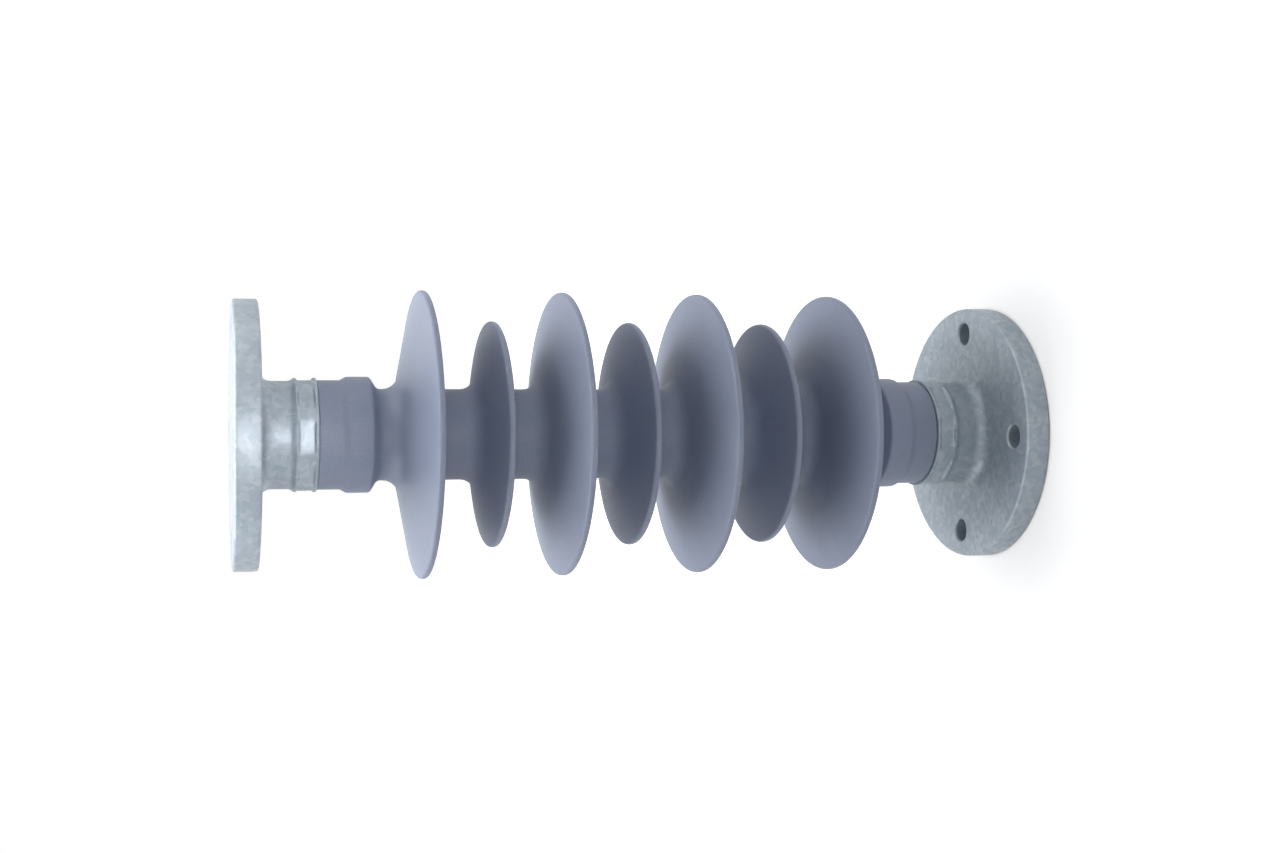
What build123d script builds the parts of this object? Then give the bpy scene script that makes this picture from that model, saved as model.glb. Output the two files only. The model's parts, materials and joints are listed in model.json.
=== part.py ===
from build123d import *

from math import cos, radians, sin, tan
import os

# Composite post insulator: a glass-fibre rod inside a silicone rubber housing, moulded in one piece
# with its seven sheds, between two identical flanged steel fittings that are crimped on the rod.
#
# Millimetres. +Z is up, and the origin is the centre of the base flange's seating face.

# ---- Driving dimensions --------------------------------------------------------------------------

# Whole insulator
height = 482.0  # between the two seating faces

# Flange plate of each fitting
flange_diameter = 160.0
flange_thickness = 15.0
flange_edge = 1.2
flange_cove = 8.0  # radius of the hollow corner from the plate into the neck
bolt_circle = 127.0
bolt_hole = 14.0
bolt_count = 4

# Barrel of each fitting, from the plate to its mouth
neck_diameter = 64.0
neck_length = 19.0
band_diameter = 68.0  # thicker band, where the crimping dies bite
band_slope = 1.6
band_length = 15.0  # with the slope
flat_count = 8
across_flats = 64.0
flat_length = 9.6
flat_end_slope = 1.2  # the pressed flats run out over this length at each end
spigot_diameter = 57.0  # turned down, under the rubber
spigot_length = 26.0

# Core rod
rod_diameter = 45.0
bore_floor = 10.0  # metal between the end of the blind bore and the seating face
rod_end_gap = 0.5

# Ends of the rubber housing, moulded over the spigots
cuff_diameter = 65.0
cuff_length = 14.3
ring_diameter = 69.2  # thick ring over the mouth of the barrel
ring_step = 3.6  # length of the slope from the cuff to the ring
ring_length = 13.6
ring_taper = 4.5  # length of the slope from the ring to the sheath
ring_edge = 1.5

# Sheath and sheds, from the top: large, small, large and so on
sheath_diameter = 54.8
shed_count = 7
shed_pitch = 43.0
large_shed_diameter = 173.0
small_shed_diameter = 137.0
rim_thickness = 4.0
upper_slope = 12.5  # degrees, falling outwards
under_slope = 6.0
upper_root = 6.0  # leg of the corner between the sheath and a shed's upper side
under_root = 3.0  # and its under side

# ---- Sizes that follow ---------------------------------------------------------------------------

flange_radius = flange_diameter / 2
neck_radius = neck_diameter / 2
band_radius = band_diameter / 2
spigot_radius = spigot_diameter / 2
rod_radius = rod_diameter / 2
cuff_radius = cuff_diameter / 2
ring_radius = ring_diameter / 2
sheath_radius = sheath_diameter / 2
large_shed_radius = large_shed_diameter / 2
small_shed_radius = small_shed_diameter / 2

# Levels above the seating face of the fitting that they belong to
band_start = flange_thickness + neck_length
band_end = band_start + band_length
flat_start = band_start + (band_slope + band_length - flat_length) / 2
flat_end = flat_start + flat_length
spigot_end = band_end + spigot_length
ring_start = band_end + cuff_length
ring_end = ring_start + ring_step + ring_length
sheath_start = ring_end + ring_taper

# Level of the middle of each shed's rim, from the lowest shed up
first_rim = height / 2 - shed_pitch * (shed_count - 1) / 2
rim_levels = [first_rim + shed_pitch * shed for shed in range(shed_count)]


def corners_at(section, radius):
    """The corners of a section at one radius, from the lowest up."""
    return section.vertices().filter_by_position(Axis.X, radius - 0.01, radius + 0.01).sort_by(Axis.Y)


def cove_point(angle):
    """A point on the hollow corner between plate and neck, by its angle down from the neck's end."""
    radius = neck_radius + flange_cove * (1 - cos(radians(angle)))
    level = flange_thickness + flange_cove * (1 - sin(radians(angle)))
    return radius, level


# ---- Base fitting: a turned and drilled forging, with a crimped barrel ---------------------------

# The band after pressing: eight flats that run out at both ends
with BuildPart() as pressed_band:
    for level, width in (
        (flat_start, band_diameter),
        (flat_start + flat_end_slope, across_flats),
        (flat_end - flat_end_slope, across_flats),
        (flat_end, band_diameter),
    ):
        with BuildSketch(Plane.XY.offset(level)):
            RegularPolygon(width / 2, flat_count, major_radius=False, rotation=180 / flat_count)
    loft(ruled=True)

# What the crimping dies push away: everything round the pressed band
with BuildPart() as crimping_dies:
    with BuildSketch(Plane.XY.offset(flat_start)):
        Circle(band_diameter)
    extrude(amount=flat_length)
    add(pressed_band.part, mode=Mode.SUBTRACT)

with BuildPart() as base_fitting:
    with BuildSketch(Plane.XZ) as turned:
        with BuildLine():
            Polyline(
                (0, 0),
                (flange_radius, 0),
                (flange_radius, flange_thickness),
                *[cove_point(angle) for angle in (90, 45, 0)],
                (neck_radius, band_start),
                (band_radius, band_start + band_slope),
                (band_radius, band_end),
                (spigot_radius, band_end),
                (spigot_radius, spigot_end),
                (0, spigot_end),
                close=True,
            )
        make_face()
        chamfer(corners_at(turned, flange_radius), flange_edge)
    revolve(axis=Axis.Z)

    # Blind bore for the rod, from the mouth of the barrel down to its floor
    with BuildSketch(Plane.XY.offset(bore_floor)):
        Circle(rod_radius)
    extrude(amount=spigot_end - bore_floor, mode=Mode.SUBTRACT)

    # Bolt holes through the plate
    with BuildSketch(Plane.XY):
        with PolarLocations(bolt_circle / 2, bolt_count):
            Circle(bolt_hole / 2)
    extrude(amount=flange_thickness, mode=Mode.SUBTRACT)

    # Crimped flats
    add(crimping_dies.part, mode=Mode.SUBTRACT)
base_fitting.part.label = "base_fitting"

# ---- Top fitting: the same forging, turned over --------------------------------------------------

with BuildPart() as top_fitting:
    with Locations(Location((0, 0, height), (180, 0, 0))):
        add(base_fitting.part)
top_fitting.part.label = "top_fitting"

# ---- Core rod ------------------------------------------------------------------------------------

with BuildPart() as core_rod:
    rod_start = bore_floor + rod_end_gap
    with BuildSketch(Plane.XY.offset(rod_start)):
        Circle(rod_radius)
    extrude(amount=height - 2 * rod_start)
core_rod.part.label = "core_rod"

# ---- Housing: sheath, sheds and both end cuffs, moulded in one piece -----------------------------

with BuildPart() as housing:
    with BuildSketch(Plane.XZ) as moulding:
        # One end's outline, from the bore of the cuff round to the plain sheath
        end_outline = [
            (rod_radius, spigot_end),
            (spigot_radius, spigot_end),
            (spigot_radius, band_end),
            (cuff_radius, band_end),
            (cuff_radius, ring_start),
            (ring_radius, ring_start + ring_step),
            (ring_radius, ring_end),
            (sheath_radius, sheath_start),
        ]
        with BuildLine():
            Polyline(
                *end_outline,
                *[(radius, height - level) for radius, level in reversed(end_outline)],
                close=True,
            )
        make_face()

        # Sheds that droop outwards; their sections start inside the sheath and end at a blunt rim
        shed_inside = (rod_radius + sheath_radius) / 2
        for shed, level in enumerate(rim_levels):
            shed_radius = small_shed_radius if shed % 2 else large_shed_radius
            reach = shed_radius - shed_inside
            rim_top = level + rim_thickness / 2
            rim_bottom = level - rim_thickness / 2
            with BuildLine():
                Polyline(
                    (shed_inside, rim_bottom + reach * tan(radians(under_slope))),
                    (shed_radius, rim_bottom),
                    (shed_radius, rim_top),
                    (shed_inside, rim_top + reach * tan(radians(upper_slope))),
                    close=True,
                )
            make_face()

        # Up the sheath lie the base taper's corner, each shed's under and upper root, and the top
        # taper's corner
        chamfer(corners_at(moulding, sheath_radius)[2:-1:2], upper_root)
        chamfer(corners_at(moulding, sheath_radius)[1:-1:2], under_root)
        chamfer(corners_at(moulding, ring_radius), ring_edge)
    revolve(axis=Axis.Z)
housing.part.label = "housing"

# ---- Files ---------------------------------------------------------------------------------------

os.makedirs("parts", exist_ok=True)
for piece in (base_fitting.part, top_fitting.part, core_rod.part, housing.part):
    export_step(piece, f"parts/{piece.label}.step")
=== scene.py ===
# %% [markdown]
# # A composite post insulator, dressed for its portrait
#
# The insulator is a glass-fibre rod in a coat of grey-blue silicone rubber, with a flanged steel fitting
# at each end. The frame below holds its solids at their real size. This lesson lathes finer skins for
# the rubber and the steel over them, gives each its finish, and lights them.

from math import atan2, cos, pi, radians, sin, sqrt, tan
import json

import bmesh
import bpy
from mathutils import Matrix, Vector


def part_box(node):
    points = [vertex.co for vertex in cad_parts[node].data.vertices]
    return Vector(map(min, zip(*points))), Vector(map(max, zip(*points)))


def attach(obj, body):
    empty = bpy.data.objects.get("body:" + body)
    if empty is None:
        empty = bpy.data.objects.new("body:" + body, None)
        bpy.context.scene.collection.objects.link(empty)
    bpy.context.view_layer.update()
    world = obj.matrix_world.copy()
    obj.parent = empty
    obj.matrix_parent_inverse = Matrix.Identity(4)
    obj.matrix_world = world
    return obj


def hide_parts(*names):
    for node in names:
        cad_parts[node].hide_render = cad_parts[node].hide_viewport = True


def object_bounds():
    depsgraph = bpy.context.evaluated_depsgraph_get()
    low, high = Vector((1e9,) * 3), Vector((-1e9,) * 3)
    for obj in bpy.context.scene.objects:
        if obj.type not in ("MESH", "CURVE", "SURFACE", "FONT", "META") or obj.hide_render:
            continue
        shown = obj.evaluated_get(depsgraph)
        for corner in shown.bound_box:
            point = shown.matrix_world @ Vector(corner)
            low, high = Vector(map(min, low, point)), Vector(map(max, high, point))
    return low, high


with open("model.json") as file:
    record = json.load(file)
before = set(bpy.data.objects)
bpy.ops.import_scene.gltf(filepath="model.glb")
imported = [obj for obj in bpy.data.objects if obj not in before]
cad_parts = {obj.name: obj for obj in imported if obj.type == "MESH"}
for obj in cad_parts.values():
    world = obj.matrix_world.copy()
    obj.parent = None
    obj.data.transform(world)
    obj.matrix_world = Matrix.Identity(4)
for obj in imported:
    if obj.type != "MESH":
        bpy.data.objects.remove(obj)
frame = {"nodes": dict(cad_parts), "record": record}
cad_low, cad_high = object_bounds()
HEIGHT = cad_high[2]
print("insulator, metres:", [round(high - low, 4) for low, high in zip(cad_low, cad_high)])

# %% [markdown]
# ## The sizes that rubber and steel share
#
# A turned piece is known by a few radii and levels. The largest of them are read from the frame, and the
# small ones, which only the drawing of such an insulator gives, are named in metres. Levels are counted
# from the seating face of the nearer flange, because both ends are alike. The rubber is moulded over a
# spigot on each fitting, so the sizes of that joint belong to both.

# %% Shared sizes
MM = 0.001
TURNS = 192  # steps round every turned piece
flange_low, flange_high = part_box("base_fitting")
housing_low, housing_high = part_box("housing")

CUFF_START = housing_low.z  # the rubber starts where the steel band ends
SPIGOT_R = 28.5 * MM
SPIGOT_END = 75 * MM
ROD_R = 22.5 * MM
print("height", round(HEIGHT, 4), "rubber from", round(CUFF_START, 4), "to", round(housing_high.z, 4))

# %% [markdown]
# ## A lathe made of operators
#
# Every piece here is turned: one outline swept about the long axis. A wood turner cuts that outline with a
# gouge. In Blender a single vertex is extruded from corner to corner, each corner that is soft on the real
# piece is bevelled into an arc, and the spin operator sweeps the line round. A cylinder primitive with
# loops scaled by hand would do, but a drawn outline keeps every radius at a known level.


# %% The lathe
def deselect_all():
    bpy.ops.object.select_all(action="DESELECT")


def select_corner(piece, radius, level):
    """In edit mode, selects the one vertex of the outline that lies at this radius and level."""
    bpy.ops.mesh.select_all(action="DESELECT")
    mesh = bmesh.from_edit_mesh(piece.data)
    place = Vector((radius, 0, level))
    corner = min(mesh.verts, key=lambda vertex: (vertex.co - place).length)
    corner.select = True
    bmesh.update_edit_mesh(piece.data)


def bevel_offset(before, corner, after, rounding):
    """How far along its two edges a corner is cut back, for an arc of this radius to fit in."""
    into = Vector(corner[:2]) - Vector(before[:2])
    out = Vector(after[:2]) - Vector(corner[:2])
    return rounding * tan(into.angle(out) / 2)


def lathe(name, outline, arc_steps=6):
    """Turns an outline of (radius, level, rounding) corners into a closed skin about the long axis."""
    deselect_all()
    bpy.ops.mesh.primitive_plane_add(size=MM, location=(0, 0, 0))  # only to be merged to one vertex
    piece = bpy.context.object
    piece.name = piece.data.name = name
    bpy.ops.object.mode_set(mode="EDIT")
    bpy.ops.mesh.select_all(action="SELECT")
    bpy.ops.mesh.merge(type="CENTER")
    bpy.ops.transform.translate(value=(outline[0][0], 0, outline[0][1]))
    for start, end in zip(outline, outline[1:]):
        step = (end[0] - start[0], 0, end[1] - start[1])
        bpy.ops.mesh.extrude_vertices_move(TRANSFORM_OT_translate={"value": step})
    for before, corner, after in zip(outline, outline[1:], outline[2:]):
        if corner[2] > 0:
            select_corner(piece, corner[0], corner[1])
            offset = bevel_offset(before, corner, after, corner[2])
            bpy.ops.mesh.bevel(affect="VERTICES", offset=offset, segments=arc_steps)
    bpy.ops.mesh.select_all(action="SELECT")
    bpy.ops.mesh.spin(steps=TURNS, angle=2 * pi, center=(0, 0, 0), axis=(0, 0, 1))
    bpy.ops.mesh.select_all(action="SELECT")
    bpy.ops.mesh.remove_doubles(threshold=0.01 * MM)
    bpy.ops.mesh.normals_make_consistent(inside=False)
    bpy.ops.object.mode_set(mode="OBJECT")
    print(name, "turned:", len(piece.data.polygons), "faces")
    return piece


def smooth(piece, degrees):
    """Smooth shading, kept crisp at edges that turn more than this."""
    deselect_all()
    piece.select_set(True)
    bpy.context.view_layer.objects.active = piece
    bpy.ops.object.shade_smooth_by_angle(angle=radians(degrees))


# %% [markdown]
# ## The rubber housing
#
# Silicone rubber is injected round the finished rod and both fittings in one shot, so the sheath, the
# seven sheds and the two end cuffs are one skin with no joints. Rain must run off the sheds: their upper
# sides fall outwards, their rims are blunt, and a hollow corner carries each one into the sheath. Large
# and small sheds take turns, so that water dripping off one large rim can't bridge to the next.

# %% Sizes of the rubber
CUFF_R = 32.5 * MM
CUFF_END = CUFF_START + 14.3 * MM
RING_R = 34.6 * MM
RING_START = CUFF_END + 3.6 * MM
RING_END = RING_START + 13.6 * MM
SHEATH_START = RING_END + 4.5 * MM
SHEATH_R = 27.4 * MM

LARGE_SHED_R = round(housing_high.x, 4)
SMALL_SHED_R = 68.5 * MM
SHED_PITCH = 43 * MM
SHEDS = 7
RIM = 4 * MM
UPPER_SLOPE = tan(radians(12.5))
UNDER_SLOPE = tan(radians(6))
print("large sheds", LARGE_SHED_R, "small sheds", SMALL_SHED_R, "sheath", SHEATH_R)

# %% [markdown]
# ## One outline for the whole housing
#
# The mould is two halves of one long cavity, so one outline holds all of it. It starts at the cuff over
# the base fitting, climbs from shed to shed in a loop, ends with the same cuff the other way up, and
# comes back along the rod and both spigots. Seven separate sheds joined to a tube would be simpler to
# draw, but would leave seams where the real rubber flows on.


# %% Outline and skin of the housing
def end_corners():
    """The cuff over a fitting's barrel, counted from its flange, up to the plain sheath."""
    return [
        (SPIGOT_R, CUFF_START, 0),
        (CUFF_R, CUFF_START, 0.9 * MM),
        (CUFF_R, CUFF_END, 2.5 * MM),
        (RING_R, RING_START, 3 * MM),
        (RING_R, RING_END, 2 * MM),
        (SHEATH_R, SHEATH_START, 4 * MM),
    ]


def shed_corners(level, radius):
    """One shed from its under root out to the rim and back to its upper root."""
    reach = radius - SHEATH_R
    under = level - RIM / 2 + reach * UNDER_SLOPE
    upper = level + RIM / 2 + reach * UPPER_SLOPE
    return [
        (SHEATH_R, under, 4 * MM),
        (radius, level - RIM / 2, 1.7 * MM),
        (radius, level + RIM / 2, 1.7 * MM),
        (SHEATH_R, upper, 10 * MM),
    ]


def over_the_top(corners):
    """The same corners at the other end of the insulator, in the opposite order."""
    return [(radius, HEIGHT - level, rounding) for radius, level, rounding in reversed(corners)]


housing_outline = end_corners()
rim_levels = [HEIGHT / 2 + SHED_PITCH * (shed - (SHEDS - 1) / 2) for shed in range(SHEDS)]
for shed, level in enumerate(rim_levels):
    housing_outline += shed_corners(level, SMALL_SHED_R if shed % 2 else LARGE_SHED_R)
housing_outline += over_the_top(end_corners())
inside = [(ROD_R, SPIGOT_END, 0), (SPIGOT_R, SPIGOT_END, 0)]  # along the rod, then over the spigot
housing_outline += over_the_top(inside) + inside + housing_outline[:1]
housing = lathe("rubber_housing", housing_outline)
smooth(housing, 50)
print("shed rims at", [round(level, 4) for level in rim_levels])

# %% [markdown]
# ## The steel fittings
#
# Each fitting is a forging, turned outside: a flange plate, a hollow corner that spreads the load into
# the neck, a thicker band where the crimping dies bite, and a spigot under the rubber with a blind bore
# for the rod. It is turned here as on a real lathe, the outside and the bore from one outline. The band
# gets many rings of vertices, because the dies need metal to move in the step after this one.

# %% Sizes of the steel
FLANGE_R = round(flange_high.x, 4)
FLANGE_THICK = 15 * MM
FLANGE_EDGE = 1.6 * MM
COVE = 8 * MM
NECK_R = 32 * MM
BAND_R = 34 * MM
BAND_START = 34 * MM
BORE_FLOOR = 10 * MM  # metal between the end of the rod's blind bore and the seating face
print("flanges", FLANGE_R, "neck", NECK_R, "band", BAND_R)


# %% One fitting, turned
def fitting_outline():
    """From the middle of the seating face, round the plate, down the barrel and back along the bore."""
    band_low = BAND_START + 3.2 * MM
    band_high = CUFF_START - 0.9 * MM
    steps = 28  # rings for the dies to push in
    band = [(BAND_R, band_low + (band_high - band_low) * step / steps, 0) for step in range(steps + 1)]
    return [
        (0, 0, 0),
        (FLANGE_R, 0, FLANGE_EDGE),
        (FLANGE_R, FLANGE_THICK, FLANGE_EDGE),
        (NECK_R, FLANGE_THICK, COVE),
        (NECK_R, BAND_START - 0.6 * MM, 4 * MM),
        (BAND_R, BAND_START + 2.4 * MM, 3 * MM),
        *band,
        (BAND_R, CUFF_START, 0.7 * MM),
        (SPIGOT_R, CUFF_START, 0),
        (SPIGOT_R, SPIGOT_END, 0),
        (ROD_R, SPIGOT_END, 0),
        (ROD_R, BORE_FLOOR, 0),
        (0, BORE_FLOOR, 0),
    ]


base = lathe("steel_base_fitting", fitting_outline())

# %% [markdown]
# ## The crimped flats
#
# Eight dies close on the band and squeeze the steel on to the rod. What they leave are flats: the metal is
# pushed in where a die is flat, and stays round at both lips of the band. A boolean with eight blocks
# would leave knife edges, so the turned band is pushed in here vertex by vertex, as the die would, with a
# soft limit where the flat meets the round.

# %% Press the flats
FLATS = 8
FLAT_R = 32.4 * MM  # half the width across two opposite flats
FLAT_START = 37.5 * MM
FLAT_END = 46.8 * MM
RUN_OUT = 1.6 * MM  # over which a flat fades at each end
EDGE_BLEND = 0.35 * MM  # round where a flat meets the band


def soft_minimum(a, b, blend):
    """The smaller of two lengths, with a round transition over the blend length."""
    h = max(blend - abs(a - b), 0) / blend
    return min(a, b) - h * h * blend / 4


def ease(share):
    """A smooth step from 0 to 1."""
    share = min(max(share, 0), 1)
    return share * share * (3 - 2 * share)


def press_flats(piece):
    """Pushes the turned band in to eight flats, which run out to round lips at both ends."""
    pushed = 0
    for vertex in piece.data.vertices:
        radius = sqrt(vertex.co.x**2 + vertex.co.y**2)
        if not (FLAT_START - RUN_OUT < vertex.co.z < FLAT_END + RUN_OUT and radius > NECK_R):
            continue
        angle = atan2(vertex.co.y, vertex.co.x)
        pitch = 2 * pi / FLATS
        off_flat = (angle + pitch / 2) % pitch - pitch / 2
        flat_radius = FLAT_R / cos(off_flat)
        depth = radius - soft_minimum(radius, flat_radius, EDGE_BLEND)
        rise = ease((vertex.co.z - FLAT_START + RUN_OUT / 2) / RUN_OUT)
        fall = ease((FLAT_END + RUN_OUT / 2 - vertex.co.z) / RUN_OUT)
        new_radius = radius - depth * min(rise, fall)
        vertex.co.x *= new_radius / radius
        vertex.co.y *= new_radius / radius
        pushed += 1
    print("vertices pushed in by the dies:", pushed)


press_flats(base)

# %% [markdown]
# ## Bolt holes
#
# Four holes for M12 bolts go through the plate. On the real flange they are drilled and countersunk a
# little before the part is dipped in zinc, so their edges are soft. A cutter is modelled with that
# countersink at both ends and taken away by a Boolean modifier, once for each hole.


# %% Drill the flange
pattern = frame["record"]["mounts"][0]["dims"]
BOLT_CIRCLE_R = pattern["pcd_mm"] / 2 * MM
BOLT_HOLE_R = pattern["hole_r_mm"] * MM
BOLTS = pattern["count"]
COUNTERSINK = 0.9 * MM
BEYOND = 5 * MM  # how far the bit sticks out of the plate


def drill_bit(name, x, y):
    """A cylinder as long as the plate is thick, flared at both ends and carried on beyond both faces."""
    deselect_all()
    bpy.ops.mesh.primitive_cylinder_add(
        vertices=64,
        radius=BOLT_HOLE_R,
        depth=FLANGE_THICK - 2 * COUNTERSINK,
        location=(x, y, FLANGE_THICK / 2),
    )
    bit = bpy.context.object
    bit.name = name
    bpy.ops.object.transform_apply(location=True, rotation=False, scale=False)
    bpy.ops.object.mode_set(mode="EDIT")
    for side in (1, -1):
        bpy.ops.mesh.select_all(action="DESELECT")
        mesh = bmesh.from_edit_mesh(bit.data)
        for face in mesh.faces:
            face.select = face.normal.z * side > 0.9
        bmesh.update_edit_mesh(bit.data)
        up = {"value": (0, 0, side * COUNTERSINK)}
        bpy.ops.mesh.extrude_region_move(TRANSFORM_OT_translate=up)
        flare = (BOLT_HOLE_R + COUNTERSINK) / BOLT_HOLE_R
        bpy.ops.transform.resize(value=(flare, flare, 1), center_override=(x, y, 0))
        beyond = {"value": (0, 0, side * BEYOND)}
        bpy.ops.mesh.extrude_region_move(TRANSFORM_OT_translate=beyond)
    bpy.ops.object.mode_set(mode="OBJECT")
    return bit


def drill(piece, bit):
    """Takes the bit's shape out of the piece, and throws the bit away."""
    deselect_all()
    piece.select_set(True)
    bpy.context.view_layer.objects.active = piece
    cut = piece.modifiers.new("bolt hole", "BOOLEAN")
    cut.operation = "DIFFERENCE"
    cut.solver = "EXACT"
    cut.object = bit
    bpy.ops.object.modifier_apply(modifier=cut.name)
    bpy.data.objects.remove(bit)


for hole in range(BOLTS):
    angle = 2 * pi * hole / BOLTS
    drill(base, drill_bit("bit", BOLT_CIRCLE_R * cos(angle), BOLT_CIRCLE_R * sin(angle)))
print("base fitting after drilling:", len(base.data.polygons), "faces")

# %% [markdown]
# ## The same forging, turned over
#
# Both fittings come off one drawing, so the top one is a copy of the base with a mesh of its own, turned
# half round about the X axis and lifted to the top of the insulator.

# %% Top fitting
smooth(base, 32)
deselect_all()
base.select_set(True)
bpy.context.view_layer.objects.active = base
bpy.ops.object.duplicate(linked=False)
top = bpy.context.object
top.name = top.data.name = "steel_top_fitting"
top.data.transform(Matrix.Translation((0, 0, HEIGHT)) @ Matrix.Rotation(pi, 4, "X"))
print("top fitting reaches", round(max(vertex.co.z for vertex in top.data.vertices), 4))

# %% [markdown]
# ## A shared effect: weathered mottle
#
# Neither the rubber nor the zinc has one even colour. Both carry broad soft clouds from handling and
# dust, with a fine speckle over them. One node group makes that mask for both materials, each with its
# own scale, so that the two finishes look as if they had stood in the same yard.


# %% Node helpers and the mottle group
def add_node(tree, kind, **values):
    """A node of this kind, with its properties and its named inputs set."""
    node = tree.nodes.new(kind)
    for name, value in values.items():
        if hasattr(node, name):
            setattr(node, name, value)
        else:
            node.inputs[name.replace("_", " ")].default_value = value
    return node


def make_mottle_group():
    """Clouds and speckle as one mask about 0.5, from Object coordinates."""
    group = bpy.data.node_groups.new("weathered_mottle", "ShaderNodeTree")
    socket = group.interface.new_socket
    for name, value in (("Cloud Scale", 14.0), ("Speckle Scale", 600.0), ("Speckle Share", 0.35)):
        socket(name=name, in_out="INPUT", socket_type="NodeSocketFloat").default_value = value
    socket(name="Vector", in_out="INPUT", socket_type="NodeSocketVector")
    socket(name="Mask", in_out="OUTPUT", socket_type="NodeSocketFloat")
    inside = add_node(group, "NodeGroupInput")
    outside = add_node(group, "NodeGroupOutput")
    cloud = add_node(group, "ShaderNodeTexNoise", Detail=5.0, Roughness=0.6)
    speckle = add_node(group, "ShaderNodeTexNoise", Detail=2.0, Roughness=0.5)
    blend = add_node(group, "ShaderNodeMix", data_type="FLOAT")
    link = group.links.new
    link(inside.outputs["Vector"], cloud.inputs["Vector"])
    link(inside.outputs["Vector"], speckle.inputs["Vector"])
    link(inside.outputs["Cloud Scale"], cloud.inputs["Scale"])
    link(inside.outputs["Speckle Scale"], speckle.inputs["Scale"])
    link(inside.outputs["Speckle Share"], blend.inputs["Factor"])
    link(cloud.outputs["Fac"], blend.inputs["A"])
    link(speckle.outputs["Fac"], blend.inputs["B"])
    link(blend.outputs["Result"], outside.inputs["Mask"])
    return group


mottle_group = make_mottle_group()


def new_material(name):
    """An empty node material: its tree, its shader and a link function."""
    material = bpy.data.materials.new(name)
    material.use_nodes = True
    tree = material.node_tree
    return material, tree, tree.nodes["Principled BSDF"], tree.links.new


def mottle(tree, vector, **values):
    """The shared group placed in a material with its own values."""
    node = tree.nodes.new("ShaderNodeGroup")
    node.node_tree = mottle_group
    for name, value in values.items():
        node.inputs[name.replace("_", " ")].default_value = value
    tree.links.new(vector, node.inputs["Vector"])
    return node.outputs["Mask"]


def colour_ramp(tree, mask, *stops):
    """A colour for each stop of a mask."""
    ramp = tree.nodes.new("ShaderNodeValToRGB")
    elements = ramp.color_ramp.elements
    while len(elements) < len(stops):
        elements.new(0.5)
    for element, (place, colour) in zip(elements, stops):
        element.position = place
        element.color = (*colour, 1)
    tree.links.new(mask, ramp.inputs["Fac"])
    return ramp.outputs["Color"]


def value_range(tree, mask, low, high, to_low, to_high):
    """A mask's stretch from low to high, mapped to another range."""
    node = add_node(tree, "ShaderNodeMapRange")
    for name, value in zip(("From Min", "From Max", "To Min", "To Max"), (low, high, to_low, to_high)):
        node.inputs[name].default_value = value
    tree.links.new(mask, node.inputs["Value"])
    return node.outputs["Result"]


print("shared group:", mottle_group.name)

# %% [markdown]
# ## Silicone rubber
#
# Grey-blue silicone leaves the mould dull, with a faint silk to it. Dust and silicone oil dry to a paler
# bloom in clouds, and the mould's spark-eroded steel leaves a very fine grain. The colour comes from the
# mottle mask, the grain from a bump, and the silk from a roughness just above a half.


# %% Rubber material
def make_rubber():
    material, tree, shader, link = new_material("silicone_rubber")
    place = add_node(tree, "ShaderNodeTexCoord").outputs["Object"]
    mask = mottle(tree, place, Cloud_Scale=11.0, Speckle_Scale=900.0, Speckle_Share=0.3)
    tint = colour_ramp(
        tree,
        mask,
        (0.3, (0.2, 0.234, 0.327)),
        (0.52, (0.236, 0.27, 0.366)),
        (0.72, (0.292, 0.328, 0.415)),
    )
    link(tint, shader.inputs["Base Color"])
    link(value_range(tree, mask, 0.3, 0.7, 0.46, 0.6), shader.inputs["Roughness"])
    grain = add_node(tree, "ShaderNodeTexNoise", Scale=1500.0, Detail=3.0)
    link(place, grain.inputs["Vector"])
    bump = add_node(tree, "ShaderNodeBump", Strength=0.25, Distance=0.00008)
    link(grain.outputs["Fac"], bump.inputs["Height"])
    link(bump.outputs["Normal"], shader.inputs["Normal"])
    return material


rubber = make_rubber()

# %% [markdown]
# ## Galvanised steel
#
# Hot zinc freezes into spangles, flat crystals a few millimetres across that each catch the light their
# own way, under a thin dull skin of carbonate. Voronoi cells stand for the crystals: each cell has its
# own grey and its own roughness, and a noise bends their straight borders. The last half millimetre at
# each end, on the two seating faces, is darkened in the colour: painted shade, which keeps the upper
# seating face from going white under the lamps that hang close over it.


# %% Zinc crystals and painted shade on the seats
CRYSTALS = 300  # to the metre


def zinc_crystals(tree, place):
    """A value of its own for every crystal."""
    warp = add_node(tree, "ShaderNodeTexNoise", Scale=120.0, Detail=2.0)
    shifted = add_node(tree, "ShaderNodeVectorMath", operation="MULTIPLY_ADD")
    spangle = add_node(tree, "ShaderNodeTexVoronoi", Scale=CRYSTALS, Randomness=1.0)
    shade = add_node(tree, "ShaderNodeSeparateColor")
    tree.links.new(place, warp.inputs["Vector"])
    tree.links.new(warp.outputs["Color"], shifted.inputs[0])
    shifted.inputs[1].default_value = (4 * MM, 4 * MM, 4 * MM)
    tree.links.new(place, shifted.inputs[2])
    tree.links.new(shifted.outputs["Vector"], spangle.inputs["Vector"])
    tree.links.new(spangle.outputs["Color"], shade.inputs["Color"])
    return shade.outputs["Red"]


def painted_seat_shade(tree, place, painted_shade_factor, depth):
    """Painted shade: 1 everywhere, falling to the given factor over a small depth at both ends of the
    insulator.
    """
    level = add_node(tree, "ShaderNodeSeparateXYZ")
    above_middle = add_node(tree, "ShaderNodeMath", operation="SUBTRACT")
    off_middle = add_node(tree, "ShaderNodeMath", operation="ABSOLUTE")
    tree.links.new(place, level.inputs["Vector"])
    tree.links.new(level.outputs["Z"], above_middle.inputs[0])
    above_middle.inputs[1].default_value = HEIGHT / 2
    tree.links.new(above_middle.outputs["Value"], off_middle.inputs[0])
    return value_range(tree, off_middle.outputs["Value"], HEIGHT / 2 - depth, HEIGHT / 2, 1, painted_shade_factor)


print("crystals about", round(1 / CRYSTALS, 4), "m across")


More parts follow.
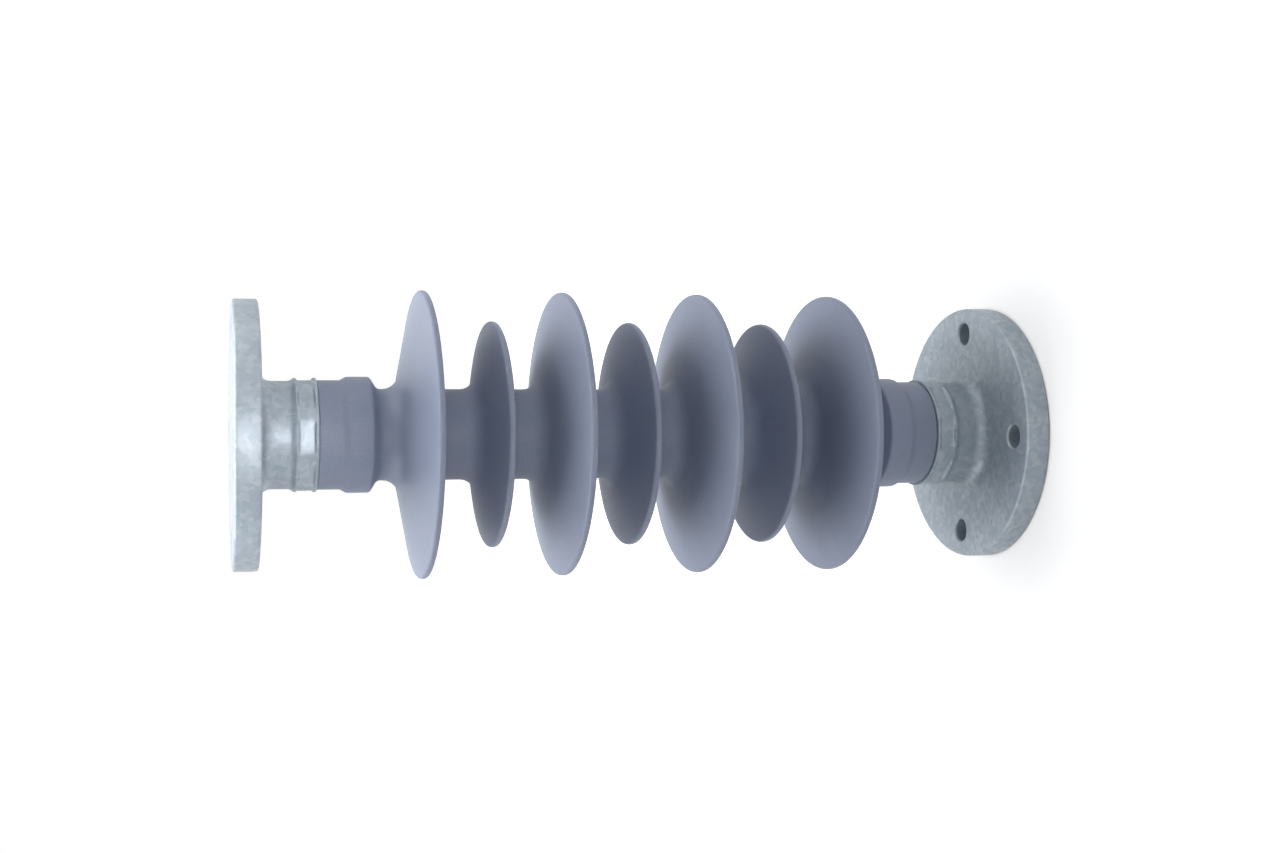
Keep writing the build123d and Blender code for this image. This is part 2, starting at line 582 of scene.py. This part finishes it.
# %% Galvanised material
def make_galvanised():
    material, tree, shader, link = new_material("galvanised_steel")
    place = add_node(tree, "ShaderNodeTexCoord").outputs["Object"]
    patina = mottle(tree, place, Cloud_Scale=26.0, Speckle_Scale=420.0, Speckle_Share=0.3)
    blend = add_node(tree, "ShaderNodeMix", data_type="FLOAT")
    blend.inputs["Factor"].default_value = 0.62
    link(zinc_crystals(tree, place), blend.inputs["A"])
    link(patina, blend.inputs["B"])
    mask = blend.outputs["Result"]
    tint = colour_ramp(
        tree,
        mask,
        (0.25, (0.3, 0.36, 0.415)),
        (0.5, (0.36, 0.415, 0.465)),
        (0.75, (0.44, 0.49, 0.53)),
    )
    # Painted shade: the zinc colour is darkened over the last half millimetre at each seating face.
    painted_shade_tint = add_node(tree, "ShaderNodeVectorMath", operation="SCALE")
    link(tint, painted_shade_tint.inputs[0])
    link(painted_seat_shade(tree, place, painted_shade_factor=0.6, depth=0.5 * MM), painted_shade_tint.inputs["Scale"])
    link(painted_shade_tint.outputs["Vector"], shader.inputs["Base Color"])
    link(value_range(tree, mask, 0.2, 0.8, 0.5, 0.34), shader.inputs["Roughness"])
    link(value_range(tree, patina, 0.3, 0.7, 0.35, 0.15), shader.inputs["Metallic"])
    shader.inputs["Specular IOR Level"].default_value = 0.3
    relief = add_node(tree, "ShaderNodeBump", Strength=0.2, Distance=0.0001)
    link(mask, relief.inputs["Height"])
    link(relief.outputs["Normal"], shader.inputs["Normal"])
    return material


galvanised = make_galvanised()

# %% [markdown]
# ## Glass-fibre rod
#
# The rod is pulled through a die as a bundle of glass fibres in epoxy, so its grain runs along it. It is
# sealed inside the other pieces, but it keeps a finish of its own for whoever takes the part to pieces.


# %% Rod material
def make_glass_fibre():
    material, tree, shader, link = new_material("glass_fibre")
    place = add_node(tree, "ShaderNodeTexCoord").outputs["Object"]
    along = add_node(tree, "ShaderNodeMapping", vector_type="POINT")
    along.inputs["Scale"].default_value = (700, 700, 6)  # fine across the rod, long along it
    link(place, along.inputs["Vector"])
    strands = add_node(tree, "ShaderNodeTexNoise", Scale=1.0, Detail=4.0)
    link(along.outputs["Vector"], strands.inputs["Vector"])
    tint = colour_ramp(tree, strands.outputs["Fac"], (0.3, (0.36, 0.35, 0.2)), (0.7, (0.6, 0.57, 0.37)))
    link(tint, shader.inputs["Base Color"])
    shader.inputs["Roughness"].default_value = 0.35
    bump = add_node(tree, "ShaderNodeBump", Strength=0.2, Distance=0.0001)
    link(strands.outputs["Fac"], bump.inputs["Height"])
    link(bump.outputs["Normal"], shader.inputs["Normal"])
    return material


glass_fibre = make_glass_fibre()

# %% [markdown]
# ## Each finish on its piece
#
# The real coats go on last, over finished metal and in the mould. Here too the finishes are put on when
# every shape is done. Each skin takes the place of the solid it covers and rides with it, and the solids
# get the same finishes in their own slots, so that the rod and the hidden shapes aren't left bare.


# %% Put each finish on its piece
def dress(piece, material, node):
    """Gives a skin its finish, and ties it to the frame in place of the solid it covers."""
    piece.data.materials.clear()
    piece.data.materials.append(material)
    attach(piece, "root")
    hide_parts(node)


dress(housing, rubber, "housing")
dress(base, galvanised, "base_fitting")
dress(top, galvanised, "top_fitting")
for name, node in frame["nodes"].items():
    finish = {"core_rod": glass_fibre, "housing": rubber}.get(name, galvanised)
    for slot in node.material_slots:
        slot.material = finish
print("pieces dressed:", [piece.name for piece in (housing, base, top)])

# %% [markdown]
# ## Floor and world
#
# The insulator stands on a white floor in a white room. To the camera, and in what the steel reflects,
# the room is plain white, but almost nothing of it falls on surfaces, so that the lamps alone model the
# sheds. The floor glows for the camera only: not at all under the flange, a little beside it, where the
# object's shadow has to show, and fully farther out, where it meets the room.


# %% Floor and world
def white_to_view(tree):
    """1 for rays from the camera, a mirror or glass, and 0 for the light on surfaces."""
    path = tree.nodes.new("ShaderNodeLightPath")
    seen = path.outputs["Is Camera Ray"]
    for kind in ("Is Glossy Ray", "Is Transmission Ray"):
        either = add_node(tree, "ShaderNodeMath", operation="MAXIMUM")
        tree.links.new(seen, either.inputs[0])
        tree.links.new(path.outputs[kind], either.inputs[1])
        seen = either.outputs["Value"]
    return seen


def make_world(fill):
    world = bpy.data.worlds.new("white_room")
    bpy.context.scene.world = world
    world.use_nodes = True
    tree = world.node_tree
    strength = value_range(tree, white_to_view(tree), 0, 1, fill, 1)
    background = tree.nodes["Background"]
    background.inputs["Color"].default_value = (1, 1, 1, 1)
    tree.links.new(strength, background.inputs["Strength"])


def make_floor(size, glow, flange_rim=(0.076, 0.082), shadow_fade=(0.25, 1.1)):
    """A white floor whose glow is for the camera alone, so that the object's shadow stays on it."""
    deselect_all()
    bpy.ops.mesh.primitive_plane_add(size=size, location=(0, 0, 0))
    floor = bpy.context.object
    floor.name = "floor"
    material, tree, shader, link = new_material("floor_white")
    shader.inputs["Base Color"].default_value = (0.86, 0.86, 0.86, 1)
    shader.inputs["Roughness"].default_value = 0.9
    shader.inputs["Specular IOR Level"].default_value = 0.1
    shader.inputs["Emission Color"].default_value = (1, 1, 1, 1)
    place = add_node(tree, "ShaderNodeTexCoord").outputs["Object"]
    away = add_node(tree, "ShaderNodeVectorMath", operation="LENGTH")
    link(place, away.inputs[0])
    under = value_range(tree, away.outputs["Value"], *flange_rim, 0, glow)
    beyond = value_range(tree, away.outputs["Value"], *shadow_fade, 0, 1 - glow)
    rising = add_node(tree, "ShaderNodeMath", operation="ADD")
    link(under, rising.inputs[0])
    link(beyond, rising.inputs[1])
    glow_in_view = add_node(tree, "ShaderNodeMath", operation="MULTIPLY")
    link(rising.outputs["Value"], glow_in_view.inputs[0])
    link(white_to_view(tree), glow_in_view.inputs[1])
    link(glow_in_view.outputs["Value"], shader.inputs["Emission Strength"])
    floor.data.materials.append(material)


make_world(fill=0.02)
make_floor(size=6.0, glow=0.25)
print("room and floor are white to the camera")

# %% [markdown]
# ## Lamps
#
# The insulator is lit mostly from above its top flange, as on a bench under a light tent. Four broad
# soft boxes and a low one in front light the whole of it. Four small ones hang close over the top flange,
# so the upper end comes out much brighter than the base, and every shed has a pale rim and a dark root
# under the shed above it. A snoot and a grid put a little light back on the sides of the top fitting and
# the upper sheds, which lamps from above only graze. One lamp at the camera would be simpler, but would
# flatten the sheds to discs.


# %% Lamps
def soft_box(name, place, target, width, power, spread=180):
    """An area lamp at a place, turned to its target. A grid in front of it narrows its spread."""
    deselect_all()
    bpy.ops.object.light_add(type="AREA", location=place)
    lamp = bpy.context.object
    lamp.name = name
    lamp.data.shape = "SQUARE"
    lamp.data.size = width
    lamp.data.energy = power
    lamp.data.spread = radians(spread)
    aim = Vector(target) - Vector(place)
    lamp.rotation_euler = aim.to_track_quat("-Z", "Y").to_euler()
    print(name, "at", [round(x, 2) for x in place], power, "W")


LOW = (0, 0, 0.25)
HIGH = (0, 0, 0.35)
soft_box("above", (0, 0, 1.6), LOW, width=1.2, power=10.5)
soft_box("behind", (0, 0.8, 1.2), LOW, width=0.7, power=5)
soft_box("front_low", (0, -1.3, 0.45), (0, 0, 0.3), width=0.8, power=2.7)
for side, sign in (("right", 1), ("left", -1)):
    soft_box("beside_" + side, (1.0 * sign, -0.05, 0.75), LOW, width=0.8, power=2.8)
    soft_box("near_top_" + side, (0.32 * sign, 0, 0.85), HIGH, width=0.3, power=1.6)
soft_box("near_top_front", (0, -0.35, 0.9), HIGH, width=0.3, power=0.48)
soft_box("near_top_back", (0, 0.35, 0.9), HIGH, width=0.3, power=0.9)
soft_box("snoot_on_top_fitting", (0, -1.3, 0.42), (0, 0, 0.46), width=0.06, power=0.008, spread=6)
soft_box("grid_on_upper_sheds", (0, -1.3, 0.62), (0, 0, 0.41), width=0.3, power=0.05, spread=20)

# %% [markdown]
# ## Camera
#
# The camera stands level with the top flange and looks a little down the insulator. It is turned a
# quarter about its own line of sight, so the standing insulator lies across the picture with its top to
# the left. The lens axis meets the object a little above its middle, and the shift brings the whole
# length back into the frame.

# %% Camera
AZIMUTH = radians(2.4)  # how far the camera is round from the front, towards +X
DISTANCE = 0.9085  # from the long axis
RISE = 0.0204  # above the top flange
TURN_DOWN = 0.209  # radians below level
NOD = -0.005  # radians to one side of the long axis
ROLL = 0.004  # radians about the line of sight
SENSOR = 36
LENS = 42.82
SHIFT = 0.0949


def camera_matrix():
    """Places and turns the camera, with the insulator's long axis across the picture."""
    down = Vector((0, 0, -1))
    aside = Vector((-cos(AZIMUTH), -sin(AZIMUTH), 0))
    toward = Vector((sin(AZIMUTH), -cos(AZIMUTH), 0))
    ahead = down * sin(TURN_DOWN) - toward * cos(TURN_DOWN)
    right = down * cos(TURN_DOWN) + toward * sin(TURN_DOWN)
    look = ahead * cos(NOD) + aside * sin(NOD)
    below = aside * cos(NOD) - ahead * sin(NOD)
    picture_right = right * cos(ROLL) + below * sin(ROLL)
    picture_down = below * cos(ROLL) - right * sin(ROLL)
    turned = Matrix((picture_right, -picture_down, -look)).transposed().to_4x4()
    place = toward * DISTANCE + Vector((0, 0, HEIGHT + RISE))
    return Matrix.Translation(place) @ turned


deselect_all()
bpy.ops.object.camera_add()
camera = bpy.context.object
camera.name = "camera"
camera.matrix_world = camera_matrix()
camera.data.sensor_width = SENSOR
camera.data.lens = LENS
camera.data.shift_x = SHIFT
bpy.context.scene.camera = camera
bpy.context.scene.view_settings.view_transform = "Standard"
print("camera at", [round(x, 3) for x in camera.location])
